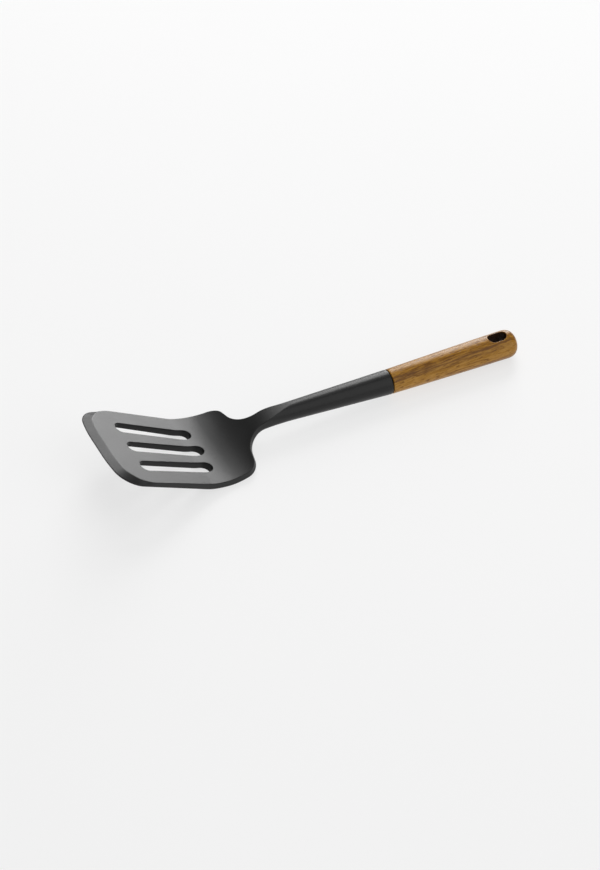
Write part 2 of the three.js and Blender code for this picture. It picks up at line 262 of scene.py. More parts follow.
def rounded_line(corners: Array, spacing: float) -> Array:
    """A line through corners, each inner one replaced by an arc tangent to both sides.

    Points are taken as complex numbers x + iy, so that a turn is a product.

    Args:
        corners: x, y and arc radius of each; the radius is cut down where the sides are short.
        spacing: distance between the points given.

    Returns:
        Points along the line.
    """
    points, radii = corners[:, 0] + 1j * corners[:, 1], corners[:, 2]
    parts = [points[:1]]
    for before_it, point, after_it, radius in zip(points, points[1:], points[2:], radii[1:]):
        back, ahead = before_it - point, after_it - point
        room = CORNER_SHARE * min(abs(back), abs(ahead))
        back, ahead = back / abs(back), ahead / abs(ahead)
        turn = np.angle(-ahead / back)
        half = (math.pi - abs(turn)) / 2
        reach = min(radius / math.tan(half), room)
        middle = (back + ahead) / abs(back + ahead)
        centre = point + middle * (reach / math.cos(half))
        spoke = point + back * reach - centre
        steps = max(2, int(abs(turn * spoke) / spacing))
        parts.append(centre + spoke * np.exp(1j * np.linspace(0.0, turn, steps + 1)))
    line = np.concatenate([*parts, points[-1:]])
    length = np.cumsum(np.abs(np.diff(line, prepend=line[:1])))
    even = np.linspace(0.0, length[-1], int(length[-1] / spacing) + 1)
    spread = np.interp(even, length, line)
    return stack(spread.real, spread.imag)


@dataclass(frozen=True)
class LongHole:
    """A long hole with round ends, seen square to the face that it goes through."""

    near: Pair
    far: Pair
    radius: float

    def spokes(self, plan: Array) -> tuple[Array, Array]:
        """Finds, for points round the hole, the nearest point of its middle line.

        Args:
            plan: points seen square to the face.

        Returns:
            The nearest points, and the unit directions from them to the points given.
        """
        near, far = np.asarray(self.near), np.asarray(self.far)
        along = far - near
        t = np.clip((plan - near) @ along / (along @ along), 0.0, 1.0)
        foot = near + t[..., None] * along
        out = plan - foot
        return foot, out / np.linalg.norm(out, axis=-1, keepdims=True)

    def shade(self, points: Array, foot: Array, ease: float) -> Array:
        """How deep in the hole a strip's points are: 1 within its rim, 0 from the ease outwards."""
        reach = np.linalg.norm(points[..., :2] - foot[:, None], axis=-1) - self.radius
        return 1 - smooth(reach, 0.0, ease)


def block_loop(grid: Array, rows: tuple[int, int], columns: tuple[int, int]) -> Array:
    """Points round the edge of a block of a grid, given by its first and last row and column."""
    (a, b), (c, d) = rows, columns
    return np.concatenate(
        [grid[a, c:d], grid[a:b, d], grid[b, d:c:-1], grid[b:a:-1, c], grid[a : a + 1, c]]
    )


class Wire:
    """A node's output that takes part in Python sums; each sum adds a Math node."""

    def __init__(self, sheet: "NodeSheet", socket: bpy.types.NodeSocket) -> None:
        """Keeps the socket and the node tree that it is in."""
        self.sheet = sheet
        self.socket = socket

    def _math(self, operation: str, first: Any, second: Any) -> "Wire":
        """Adds a Math node for one operation on two values."""
        return self.sheet.node("Math", {"operation": operation}, {0: first, 1: second})

    def __add__(self, other: Any) -> "Wire":
        """This plus another."""
        return self._math("ADD", self, other)

    __radd__ = __add__

    def __sub__(self, other: Any) -> "Wire":
        """This minus another."""
        return self._math("SUBTRACT", self, other)

    def __rsub__(self, other: Any) -> "Wire":
        """Another minus this."""
        return self._math("SUBTRACT", other, self)

    def __mul__(self, other: Any) -> "Wire":
        """This times another."""
        return self._math("MULTIPLY", self, other)


class NodeSheet:
    """The node tree of one material, ending in a single glossy shader."""

    def __init__(self, name: str) -> None:
        """Starts an empty material of this name."""
        self.material = bpy.data.materials.new(name)
        self.material.use_nodes = True
        self.tree = self.material.node_tree
        self.tree.nodes.clear()

    def node(
        self, kind: str, settings: dict[str, Any], sockets: dict[Any, Any], output: Any = 0
    ) -> Wire:
        """Adds any node.

        Args:
            kind: the node's type, without the word ShaderNode.
            settings: its properties, set first.
            sockets: values or wires for its inputs, by name or number.
            output: which of its outputs to give.

        Returns:
            That output.
        """
        made = self.tree.nodes.new("ShaderNode" + kind)
        for key, value in settings.items():
            setattr(made, key, value)
        for key, value in sockets.items():
            if isinstance(value, Wire):
                self.tree.links.new(value.socket, made.inputs[key])
            else:
                made.inputs[key].default_value = value
        return Wire(self, made.outputs[output])

    def spot(self, scale: Triple, turn: Triple) -> Wire:
        """Object coordinates turned, then stretched on each axis in repeats per metre."""
        place = self.node("TexCoord", {}, {}, "Object")
        turned = self.node("Mapping", {}, {"Vector": place, "Rotation": turn})
        return self.node("Mapping", {}, {"Vector": turned, "Scale": scale})

    def noise(
        self, scale: Triple, detail: float, roughness: float = 0.5, turn: Triple = (0.0, 0.0, 0.0)
    ) -> Wire:
        """A cloudy value about 0.5 with a feature size of one over the scale."""
        place = self.spot(scale, turn)
        sockets = {"Vector": place, "Scale": 1.0, "Detail": detail, "Roughness": roughness}
        return self.node("TexNoise", {}, sockets, "Fac")

    def between(self, value: Wire, low: float, high: float) -> Wire:
        """A value stretched so that low becomes 0 and high becomes 1, held at both ends."""
        sockets = {"Value": value, "From Min": low, "From Max": high}
        return self.node("MapRange", {"clamp": True}, sockets)

    def blend(self, amount: Any, first: Any, second: Any) -> Wire:
        """A colour that goes from the first to the second as amount goes from 0 to 1."""
        sockets = {0: amount, 6: first, 7: second}
        return self.node("Mix", {"data_type": "RGBA"}, sockets, 2)

    def hole_shade(self) -> Wire:
        """How deep inside a hole the skin is, from 0 to 1: the mask of the painted shade in holes."""
        return self.node("Attribute", {"attribute_name": HOLE_SHADE}, {}, "Fac")

    def finish(self, sockets: dict[str, Any], height: Wire, depth: float) -> bpy.types.Material:
        """Ends the tree with the shader and its bump.

        Args:
            sockets: the shader's values and wires.
            height: what the bump follows.
            depth: the bump's depth in metres.

        Returns:
            The material.
        """
        relief = {"Height": height, "Strength": 1.0, "Distance": depth}
        bump = self.node("Bump", {}, relief, "Normal")
        shader = self.node("BsdfPrincipled", {}, {**sockets, "Normal": bump})
        end = self.tree.nodes.new("ShaderNodeOutputMaterial")
        self.tree.links.new(shader.socket, end.inputs["Surface"])
        return self.material


class Slot(Enum):
    """Material slots of the record that the skins show."""

    SILICONE = "silicone"
    WOOD = "wood"


@dataclass(frozen=True)
class SiliconeFinish:
    """Matt black silicone: fine moulded grain, faint cloudy bloom, and painted shade of deeper black in
    the slots.
    """

    dark: Colour = (0.0080, 0.0080, 0.0081, 1.0)
    pale: Colour = (0.0105, 0.0105, 0.0106, 1.0)
    # Painted shade: the deeper black that the walls of the slots are drawn in.
    painted_slot_shade: Colour = (0.0018, 0.0018, 0.0018, 1.0)
    cloud_scale: Triple = (55.0, 55.0, 55.0)
    bloom_limits: Pair = (0.3, 0.7)
    grain_scale: Triple = (2600.0, 2600.0, 2600.0)
    grain_depth: float = 0.000012
    roughness: float = 0.32
    specular: float = 0.3

    def material(self) -> bpy.types.Material:
        """Builds the finish: base colour and roughness follow a cloud, the bump a fine grain.

        The walls of the slots are painted a deeper black with no bloom, as shade.

        Returns:
            The material.
        """
        sheet = NodeSheet("silicone")
        cloud = sheet.noise(self.cloud_scale, 3.0)
        grain = sheet.noise(self.grain_scale, 2.0)
        bloom = sheet.blend(sheet.between(cloud, *self.bloom_limits), self.dark, self.pale)
        sockets = {
            # Painted shade: deep in the slots the base colour goes to a deeper black.
            "Base Color": sheet.blend(sheet.hole_shade(), bloom, self.painted_slot_shade),
            "Roughness": self.roughness + cloud * 0.05 + grain * 0.03,
            "Specular IOR Level": self.specular,
        }
        return sheet.finish(sockets, grain, self.grain_depth)


@dataclass(frozen=True)
class WoodFinish:
    """Oiled acacia: brown, with streaks, one dark growth line, fine fibres, short pores, and painted
    shade in the hole.
    """

    dark: Colour = (0.146, 0.054, 0.002, 1.0)
    mid: Colour = (0.328, 0.150, 0.012, 1.0)
    light: Colour = (0.430, 0.218, 0.038, 1.0)
    tone_shares: Pair = (0.45, 0.55)
    tone_stops: Triple = (0.40, 0.50, 0.60)
    # Painted shade: the dark brown that the wall of the hang hole is drawn in.
    painted_hole_shade: Colour = (0.030, 0.011, 0.003, 1.0)
    lean: Triple = (0.0, 0.037, -0.04)
    streak_scale: Triple = (6.0, 120.0, 120.0)
    fibre_scale: Triple = (90.0, 950.0, 950.0)
    pore_scale: Triple = (260.0, 1000.0, 1000.0)
    pore_limits: Pair = (0.58, 0.70)
    pore_strength: float = 0.75
    grain_depth: float = 0.00006
    layer: Triple = (-0.030, 0.72, 0.70)
    layer_at: float = 0.0043
    layer_limits: Pair = (0.0001, 0.0008)
    layer_strength: float = 0.7
    wave_scale: Triple = (30.0, 30.0, 30.0)
    wave_height: float = 0.002
    roughness: float = 0.34
    specular: float = 0.26

    def growth_line(self, sheet: NodeSheet) -> Wire:
        """Where one dark growth layer comes to the surface: 1 within a wavy plane, 0 outside.

        The plane lies square to the layer direction, at a set distance from the origin
        that a cloud shifts by up to a millimetre.

        Args:
            sheet: the material's node tree.

        Returns:
            The line's strength.
        """
        place = sheet.node("TexCoord", {}, {}, "Object")
        sockets = {0: place, 1: self.layer}
        across = sheet.node("VectorMath", {"operation": "DOT_PRODUCT"}, sockets, "Value")
        wave = sheet.noise(self.wave_scale, 2.0)
        offset = across - self.layer_at + (wave - 0.5) * self.wave_height
        away = sheet.node("Math", {"operation": "ABSOLUTE"}, {0: offset})
        return 1.0 - sheet.between(away, *self.layer_limits)

    def material(self) -> bpy.types.Material:
        """Builds the finish from noises drawn out along the handle, leaning from its axis.

        Returns:
            The material.
        """
        sheet = NodeSheet("acacia")
        streak = sheet.noise(self.streak_scale, 2.0, 0.5, self.lean)
        fibre = sheet.noise(self.fibre_scale, 3.0, 0.65, self.lean)
        dash = sheet.noise(self.pore_scale, 1.0, 0.5, self.lean)
        pore = sheet.between(dash, *self.pore_limits)
        tone = streak * self.tone_shares[0] + fibre * self.tone_shares[1]
        brown = sheet.blend(sheet.between(tone, *self.tone_stops[:2]), self.dark, self.mid)
        plain = sheet.blend(sheet.between(tone, *self.tone_stops[1:]), brown, self.light)
        lined = sheet.blend(self.growth_line(sheet) * self.layer_strength, plain, self.dark)
        grained = sheet.blend(pore * self.pore_strength, lined, self.dark)
        bore = sheet.hole_shade()
        sockets = {
            # Painted shade: deep in the hang hole the base colour goes dark brown.
            "Base Color": sheet.blend(bore, grained, self.painted_hole_shade),
            "Roughness": self.roughness + pore * 0.2 + bore * 0.2 - streak * 0.08,
            "Specular IOR Level": self.specular,
        }
        return sheet.finish(sockets, fibre * 0.6 - pore, self.grain_depth)


@dataclass(frozen=True)
class SpeckledFinish:
    """Finish of a hidden piece: colour, roughness and bump follow one fine speckle."""

    name: str
    dark: Colour
    pale: Colour
    scale: Triple
    detail: float
    limits: Pair
    roughness: float
    swing: float
    depth: float

    def material(self) -> bpy.types.Material:
        """Builds the finish.

        Returns:
            The material.
        """
        sheet = NodeSheet(self.name)
        speck = sheet.noise(self.scale, self.detail)
        sockets = {
            "Base Color": sheet.blend(sheet.between(speck, *self.limits), self.dark, self.pale),
            "Roughness": self.roughness + speck * self.swing,
        }
        return sheet.finish(sockets, speck, self.depth)


# Filled black nylon of the core, speckled by its fibres.
NYLON = SpeckledFinish(
    name="filled_nylon",
    dark=(0.018, 0.018, 0.020, 1.0),
    pale=(0.050, 0.050, 0.053, 1.0),
    scale=(700.0, 2400.0, 2400.0),
    detail=2.0,
    limits=(0.45, 0.75),
    roughness=0.42,
    swing=0.2,
    depth=0.00003,
)
# Cured amber adhesive, glossy, with small bubbles.
EPOXY = SpeckledFinish(
    name="cured_epoxy",
    dark=(0.42, 0.28, 0.10, 1.0),
    pale=(0.55, 0.42, 0.20, 1.0),
    scale=(900.0, 900.0, 900.0),
    detail=1.0,
    limits=(0.5, 0.7),
    roughness=0.14,
    swing=0.12,
    depth=0.00004,
)


@dataclass(frozen=True)
class SiliconeHead:
    """Blade, heel, neck and shank moulded in one piece. Millimetres, and degrees for angles."""

    blade_length: float = 70.3
    blade_width: float = 79.0
    front_width: float = 31.0
    front_bow: float = 3.8
    front_radius: float = 91.0
    corner_radius: float = 17.0
    heel_width: float = 63.2
    taper_at: float = 88.0
    taper_width: float = 67.5
    taper_radius: float = 80.0
    shoulder_at: float = 35.6
    shoulder_radius: float = 10.0
    rounding_reach: float = 14.8
    shoulder_slant: float = 5.5
    neck_fillet: float = 16.8
    front_thickness: float = 3.3
    heel_thickness: float = 4.7
    edge_radius: float = 0.8
    lip_thickness: float = 1.0
    bevel_width: float = 6.0
    bevel_start: float = 5.0
    bevel_end: float = 27.0
    heel_radius: float = 32.8
    heel_angle: float = 36.4
    rise_radius: float = 81.5
    rise_angle: float = 17.3
    shoulder_sag: float = 2.4
    sag_start: float = 8.0
    crest_radius: float = 74.0
    slot_width: float = 9.5
    slot_length: float = 58.6
    side_slot_length: float = 57.1
    slot_start: float = 23.5
    slot_pitch: float = 20.0
    slot_fan_angle: float = 3.5
    handle_angle: float = 26.8
    shank_fall_angle: float = 0.3
    shank_length: float = 71.0
    shank_diameter: float = 13.0
    joint_diameter: float = 17.1
    rim_radius: float = 1.2
    top_ease: float = 0.45
    crease_ease: float = 0.04
    lip_ease: float = 0.35
    slot_ease: float = 0.5
    top_rim: float = 1.0
    under_rim: float = 2.0
    shank_rim: float = 0.5
    shank_share: float = 0.64
    side_swing: Pair = (0.1, 1.2)
    side_shares: Shares = (0.08, 0.35, 0.65, 0.92)
    ease_limits: Pair = (0.01, 0.35)
    lip_limits: Pair = (0.01, 0.3)
    wall_shares: Shares = (0.1, 0.5, 0.9)
    end_rings: Shares = (0.6, 0.3, 0.0)
    slot_room: Pair = (5.0, 6.0)
    slot_columns: Shares = (-0.8, -0.27, 0.27, 0.8)
    outline_step: float = 0.05
    station_step: float = 1.5
    station_turn: float = 5.0
    heading_reach: int = 20
    calm_passes: int = 1500
    table_points: int = 4000
    ease_points: int = 6
    lip_points: int = 4
    arc_points: int = 9
    rim_points: int = 7

    def profile(self) -> SideProfile:
        """Side view of the top face.

        Returns:
            The flat blade, tight heel, slow rise, crest and straight shank, in this order.
        """
        crest = self.handle_angle - self.shank_fall_angle - self.heel_angle - self.rise_angle
        turns = np.radians([0.0, self.heel_angle, self.rise_angle, crest, 0.0])
        radii = np.array([0.0, self.heel_radius, self.rise_radius, self.crest_radius, 0.0])
        runs = np.abs(radii * turns)
        runs[[0, -1]] = self.blade_length, self.shank_length
        return SideProfile(runs, turns)

    @property
    def shoulder(self) -> float:
        """Distance along the profile of the shoulders."""
        return self.blade_length + self.shoulder_at

    @property
    def crest(self) -> float:
        """Distance along the profile of the start of the straight shank."""
        return float(self.profile().start[4])

    @property
    def joint(self) -> float:
        """Distance along the profile of the joint to the handle."""
        return self.crest + self.shank_length

    def station(self, distance: Array) -> tuple[Array, Array, Array]:
        """Top point of a section, and its lean: square to the profile, at the end to the handle."""
        x, z, slope = self.profile().at(distance)
        return x, z, mix(slope, math.radians(self.handle_angle), smooth(distance, self.crest, self.joint))

    def shank_radius(self, distance: Any) -> Any:
        """Radius of the tapered round that the shank is, carried on as far as the blade."""
        t = (distance - self.crest) / self.shank_length
        return mix(self.shank_diameter, self.joint_diameter, t) / 2

    def rounding(self, distance: Array) -> Array:
        """How far the section has gone from the blade's flat plate, 0, to the round shank, 1."""
        return smooth(distance, self.shoulder - self.rounding_reach, self.crest)

    def axis(self, distance: float) -> Array:
        """Point of the shank's axis at a distance along the profile."""
        return self.in_space(np.array(distance), 0.0, -self.shank_radius(distance))

    def body(self, distance: Array) -> tuple[Array, Array, Array]:
        """Sizes of the section at a distance along the profile.

        The shank's top and bottom lines are carried forward as straight lines over the
        neck. The depth is the blade's thickness, growing into the larger of that and
        the depth of the shank's bottom line. The edge radius grows from the blade's
        edge to half of the section's whole height.

        Args:
            distance: how far along the profile.

        Returns:
            Height of the shank's top line, depth of the section, radius of its edge.
        """
        x, z, lean = self.station(distance)
        ends = np.array([self.crest, self.joint])
        heights = []
        for deep in (0.0, 2 * self.shank_radius(ends)):
            first, last = self.in_space(ends, 0.0, -deep)
            run_x, _, run_z = last - first
            offset = (first[0] - x) * run_z - (first[2] - z) * run_x
            heights.append(offset / (-np.sin(lean) * run_z - np.cos(lean) * run_x))
        on_shank = distance >= self.crest
        least = np.where(distance < self.shoulder, 2 * self.edge_radius, 0.0)
        crown = np.where(on_shank, 0.0, np.maximum(heights[0], least))
        back = np.minimum(distance / self.blade_length, 1.0)
        plate = mix(self.front_thickness, self.heel_thickness, back)
        ease = self.heel_thickness * (1 - smooth(distance, self.shoulder, self.crest))
        grown = soft_max(plate, -heights[1], ease)
        depth = mix(plate, grown, smooth(distance, self.blade_length, self.shoulder))
        depth = np.where(on_shank, 2 * self.shank_radius(distance), depth)
        radius = mix(self.edge_radius, (depth + crown) / 2, self.rounding(distance))
        return crown, depth, radius

    def outline(self) -> Array:
        """Half outline seen from above, finely divided.

        Returns:
            Points s, y from the front's middle to the joint.
        """
        root = self.shoulder + self.shoulder_slant
        corners = [
            (0.0, 0.0, 0.0),
            (0.0, self.front_width / 2, self.front_radius),
            (self.front_bow, self.blade_width / 2, self.corner_radius),
            (self.taper_at, self.taper_width / 2, self.taper_radius),
            (self.shoulder, self.heel_width / 2, self.shoulder_radius),
            (root, self.shank_radius(root), self.neck_fillet),
            (self.joint - self.rim_radius, self.joint_diameter / 2, 0.0),
        ]
        return rounded_line(np.array(corners), self.outline_step)

    def path(self) -> tuple[Array, Array, int]:
        """Stations round the outline, closer together where it turns.

        Each station stands at an even share of the effort, which is the length in station
        steps plus the turn in station turns.

        Returns:
            Stations from the rear left round the front to the rear right, the inward
            directions there, and how many stations lie from the middle of the front
            to the middle of a front corner.
        """
        line = self.outline()
        step = np.gradient(line, axis=0)
        heading = np.arctan2(step[:, 1], step[:, 0])
        window = np.ones(2 * self.heading_reach + 1)
        padded = np.pad(heading, self.heading_reach, mode="edge")
        heading = np.convolve(padded, window / window.size, mode="valid")
        turn = np.abs(np.gradient(heading)) / math.radians(self.station_turn)
        effort = np.cumsum(np.hypot(*step.T) / self.station_step + turn)
        effort -= effort[0]
        corner = int(np.argmax(heading < math.pi / 4))
        front_count = int(round(effort[corner]))
        count = front_count + int(round(effort[-1] - effort[corner]))
        knots = [0, front_count, count]
        marks = np.interp(np.arange(count + 1), knots, effort[[0, corner, -1]])
        s, y, turn = (np.interp(marks, effort, values) for values in (*line.T, heading))
        half, inward = stack(s, y), stack(np.sin(turn), -np.cos(turn))
        mirror = np.array([1.0, -1.0])
        stations = np.concatenate([(half * mirror)[:0:-1], half])
        directions = np.concatenate([(inward * mirror)[:0:-1], inward])
        return stations, directions, front_count

    def height(self, s: Array, y: Array, lower: bool) -> Array:
        """Height of the head's surface.

        The top side is the flat face, or the round shank where that is lower. The
        underside is flat across, and round along the shank.

        Args:
            s: distance along the profile.
            y: distance across.
            lower: whether the underside is asked for.

        Returns:
            Height above the profile.
        """
        crown, depth, radius = self.body(s)
        half = np.interp(s, *self.outline().T)
        arc = arc_height(radius, np.maximum(np.abs(y) - (half - radius), 0.0))
        bow = crown - radius + arc
        return radius - depth - arc if lower else (bow - np.hypot(bow, self.crease_ease)) / 2

    def in_space(self, s: Array, y: Array | float, n: Array | float) -> Array:
        """Sets points up on the profile.

        A point stands its height above the profile, less the sag of the shoulders,
        which grows with the square of the distance across.

        Args:
            s: distance along the profile.
            y: distance across.
            n: height above the profile.

        Returns:
            x, y, z in the blade's frame.
        """
        x, z, lean = self.station(s)
        rise = smooth(s, self.blade_length + self.sag_start, self.shoulder)
        grown = rise * (1 - smooth(s, self.shoulder, self.crest))
        up = n - self.shoulder_sag * grown * (y / (self.heel_width / 2)) ** 2
        return stack(x - up * np.sin(lean), y, z + up * np.cos(lean))

    def band(self, stations: Array, inward: Array) -> Array:
        """The edge all round: a profile carried along the outline.

        From the top face the profile goes over an eased edge, down the bevel, side wall
        or round of the shank, over the lip, and round the lower edge to the underside.

        Args:
            stations: points of the outline.
            inward: directions from them into the head.

        Returns:
            Points as stations by profile by s, y, n.
        """
        s, half = stations[:, :1], np.abs(stations[:, 1:])
        crown, depth, radius = self.body(s)
        round_off = self.rounding(s)
        bevel = self.bevel_width * (1 - smooth(s, self.bevel_start, self.bevel_end))
        fall = self.front_thickness - self.lip_thickness
        middle, foot = crown - radius, radius - depth
        cut = radius - arc_height(radius, np.minimum(middle, 0.0))
        narrow = np.minimum(cut, self.shank_share * half)
        edge_inset = bevel + narrow
        edge_height = np.minimum(middle + arc_height(radius, radius - narrow), 0.0)
        low = np.maximum(np.minimum(middle, -fall), foot)
        swing = mix(*self.side_swing, round_off)

        def side(q: Array) -> Array:
            """The side from its upper edge, q 0, to its lower end, q 1, as inset and height."""
            n = mix(low, edge_height, np.sin(swing * (1 - q)) / np.sin(swing))
            curve = radius - arc_height(radius, np.maximum(n - middle, 0.0))
            return stack(bevel * np.clip(1 + n / fall, 0.0, 1.0) + curve, n)

        def flat(inset: Array) -> Array:
            """Points on the top side at an inset from the outline."""
            at = stations + inward * inset
            return stack(inset, self.height(at[:, :1], at[:, 1:], False))

        reach = np.hypot(edge_inset, edge_height - low)
        q_ease = np.clip(self.top_ease / reach, *self.ease_limits)
        q_lip = 1 - np.clip(self.lip_ease / reach, *self.lip_limits)
        brim = edge_inset + self.top_ease
        edge = stack(edge_inset, edge_height)
        upper = eased_corner(flat(brim), edge, side(q_ease), self.ease_points)[:, 0]
        lip_room = np.minimum(self.lip_ease, (low - foot) / 2)
        lip_low = stack(0.0, low - lip_room)
        lip = eased_corner(side(q_lip), side(np.ones_like(q_lip)), lip_low, self.lip_points)[:, 0]
        last_inset = mix(radius + self.under_rim, self.shank_share * half, round_off)
        arc_inset = last_inset - mix(self.under_rim, self.shank_rim, round_off)
        sweep = np.arccos(np.clip(1 - arc_inset / radius, 0.0, 1.0))
        sweep = sweep * np.linspace(0.0, 1.0, self.arc_points)
        arc = stack(radius * (1 - np.cos(sweep)), foot - radius * np.sin(sweep))
        bottom = arc[:, -1:, 1]
        margin = mix(self.top_rim, self.shank_rim, round_off)
        parts = [
            flat(brim + margin),
            flat(brim + 0.1 * margin),
            upper,
            side(mix(q_ease, q_lip, self.side_shares)),
            lip,
            arc,
            stack(mix(arc_inset, last_inset, 0.15), bottom),
            stack(last_inset, bottom),
        ]
        inset, n = apart(np.concatenate(parts, axis=1))
        at = stations[:, None] + inward[:, None] * inset[..., None]
        scale = self.body(at[..., 0])[1] / depth
        n = np.where(n < 0, n * mix(1.0, scale, np.clip(-n / depth, 0.0, 1.0)), n)
        n[:, -1] = self.height(*at[:, -1].T, True)
        return stack(*apart(at), n)

    def face(self, edge: Array, front_count: int, lower: bool) -> Array:
        """The top side or the underside within the band.

        Each row spans from the band's left point to its right one in the shares of the
        front row. In front of the slots the points are then moved until each is the mean of
        its four neighbours, so that no face folds over at the rounded corners.

        Args:
            edge: the band's inner points round the outline, as s, y, n.
            front_count: stations from the front's middle to a corner's middle.
            lower: whether this is the underside.

        Returns:
            Points as rows by columns by s, y, n.
        """
        first, last = len(edge) // 2 - front_count, len(edge) // 2 + front_count
        left, front, right = edge[first::-1], edge[first : last + 1], edge[last:]
        share = front[:, 1] / front[-1, 1]
        grid = stack(right[:, :1], right[:, 1:2] * share, 0.0)
        grid[0], grid[:, 0], grid[:, -1] = front, left, right
        calm = int(np.searchsorted(right[:, 0], self.slot_start - self.slot_room[0])) + 1
        loose = grid[:calm]
        for _ in range(self.calm_passes):
            along = loose[:-2, 1:-1] + loose[2:, 1:-1]
            loose[1:-1, 1:-1] = (along + loose[1:-1, :-2] + loose[1:-1, 2:]) / 4
        inner = grid[1:, 1:-1]
        inner[..., 2] = self.height(inner[..., 0], inner[..., 1], lower)
        return grid

    def slots(self) -> list[LongHole]:
        """Sets out the three slots.

        Returns:
            The slots from left to right, the middle one straight and the side ones fanned.
        """
        radius = self.slot_width / 2
        first = self.slot_start + radius
        holes = []
        for sign in (-1, 0, 1):
            length = self.side_slot_length if sign else self.slot_length
            run, turn = length - self.slot_width, -sign * math.radians(self.slot_fan_angle)
            across = sign * self.slot_pitch
            far = (first + run * math.cos(turn), across + run * math.sin(turn))
            holes.append(LongHole((first, across), far, radius))
        return holes

    def slot_strip(self, hole: LongHole, above: Array, below: Array) -> tuple[Array, Array]:
        """The faces round one slot and its wall.

        The strip runs from the edge of a block of the top grid to the slot's rim along
        straight spokes, over an eased rim, straight down the wall, and out again to the
        block of the underside.

        Args:
            hole: the slot, seen square to the blade.
            above: loop of s, y, n round the block of the top grid.
            below: the same loop of the underside.

        Returns:
            Points as loop by strip by x, y, z, and how deep in the slot each is.
        """
        table = np.linspace(0.0, self.crest, self.table_points)
        x, _, lean = self.station(table)
        x_under = x + self.body(table)[1] * np.sin(lean)

        def lay(plan: Array, lower: bool) -> Array:
            """Points of the top side, or of the underside, straight above or below a plan."""
            s, y = np.interp(plan[..., 0], x_under if lower else x, table), plan[..., 1]
            return self.in_space(s, y, self.height(s, y, lower))

        start = stack(np.interp(above[:, 0], table, x), above[:, 1])
        end = stack(np.interp(below[:, 0], table, x_under), below[:, 1])
        foot, out = hole.spokes(start)
        rim = foot + out * hole.radius
        brim = foot + out * (hole.radius + self.slot_ease)
        up = np.array([0.0, 0.0, self.slot_ease])
        top_rim, low_rim = lay(rim, False), lay(rim, True)
        over = eased_corner(lay(brim, False), top_rim, top_rim - up, self.ease_points)
        back = eased_corner(low_rim + up, low_rim, lay(brim, True), self.ease_points)
        wall = mix(over[:, -1:], back[:, :1], np.array(self.wall_shares)[:, None])
        parts = [
            self.in_space(*apart(above))[:, None],
            lay(mix(start[:, None], brim[:, None], RIM_STEPS[1:]), False),
            over,
            wall,
            back,
            lay(mix(brim[:, None], end[:, None], 1 - RIM_STEPS[:0:-1]), True),
            self.in_space(*apart(below))[:, None],
        ]
        strip = np.concatenate(parts, axis=1)
        return strip, hole.shade(strip, foot, self.slot_ease)

    def rear_rim(self, top: Array, under: Array, band: Array) -> Array:
        """Closes the rear end: rings that turn over a rounded rim and run in to the middle.

        Args:
            top: the top side, in space.
            under: the underside.
            band: the edge all round.

        Returns:
            Points as rings by points by x, y, z.
        """
        ring = np.concatenate([top[-1], band[-1, 1:], under[-1, -2::-1], band[0, -2:0:-1]])
        tilt = math.radians(self.handle_angle)
        last = self.joint - self.rim_radius
        centre, radius = self.axis(last), self.shank_radius(last)
        angle = np.linspace(0.0, math.pi / 2, self.rim_points)
        scale = np.concatenate([1 - self.rim_radius / radius * (1 - np.cos(angle)), self.end_rings])
        push = np.pad(self.rim_radius * np.sin(angle), (0, len(self.end_rings)), mode="edge")
        along = np.array([math.cos(tilt), 0.0, math.sin(tilt)])
        return centre + (ring - centre) * scale[:, None, None] + along * push[:, None, None]

    def build(self) -> bpy.types.Object:
        """Builds the whole head as one skin.

        Returns:
            The head's object.
        """
        stations, inward, front_count = self.path()
        band = self.band(stations, inward)
        top = self.face(band[:, 0], front_count, lower=False)
        under = self.face(band[:, -1], front_count, lower=True)
        share = top[0, :, 1] / top[0, -1, 1]
        ahead, behind = self.slot_room
        limits = [self.slot_start - ahead, self.slot_start + self.slot_length + behind]
        rows = first_row, last_row = tuple(np.searchsorted(top[:, -1, 0], limits).tolist())
        columns = [int(np.argmin(np.abs(share - column))) for column in self.slot_columns]
        keep = np.ones((len(top) - 1, len(share) - 1), dtype=bool)
        keep[first_row:last_row, columns[0] : columns[3]] = False
        skin = Skin()
        shells = [self.in_space(*apart(grid)) for grid in (top, under, band)]
        for shell, kept in zip(shells, (keep, keep, True)):
            skin.add_grid(ON_TABLE.place(shell), kept)
        for hole, first, last in zip(self.slots(), columns[:-1], columns[1:]):
            loops = [block_loop(grid, rows, (first, last)) for grid in (top, under)]
            strip, shade = self.slot_strip(hole, *loops)
            skin.add_grid(ON_TABLE.place(strip), shade=shade)
        skin.add_grid(ON_TABLE.place(self.rear_rim(*shells)), ring=True)
        return skin.to_object("head_skin")


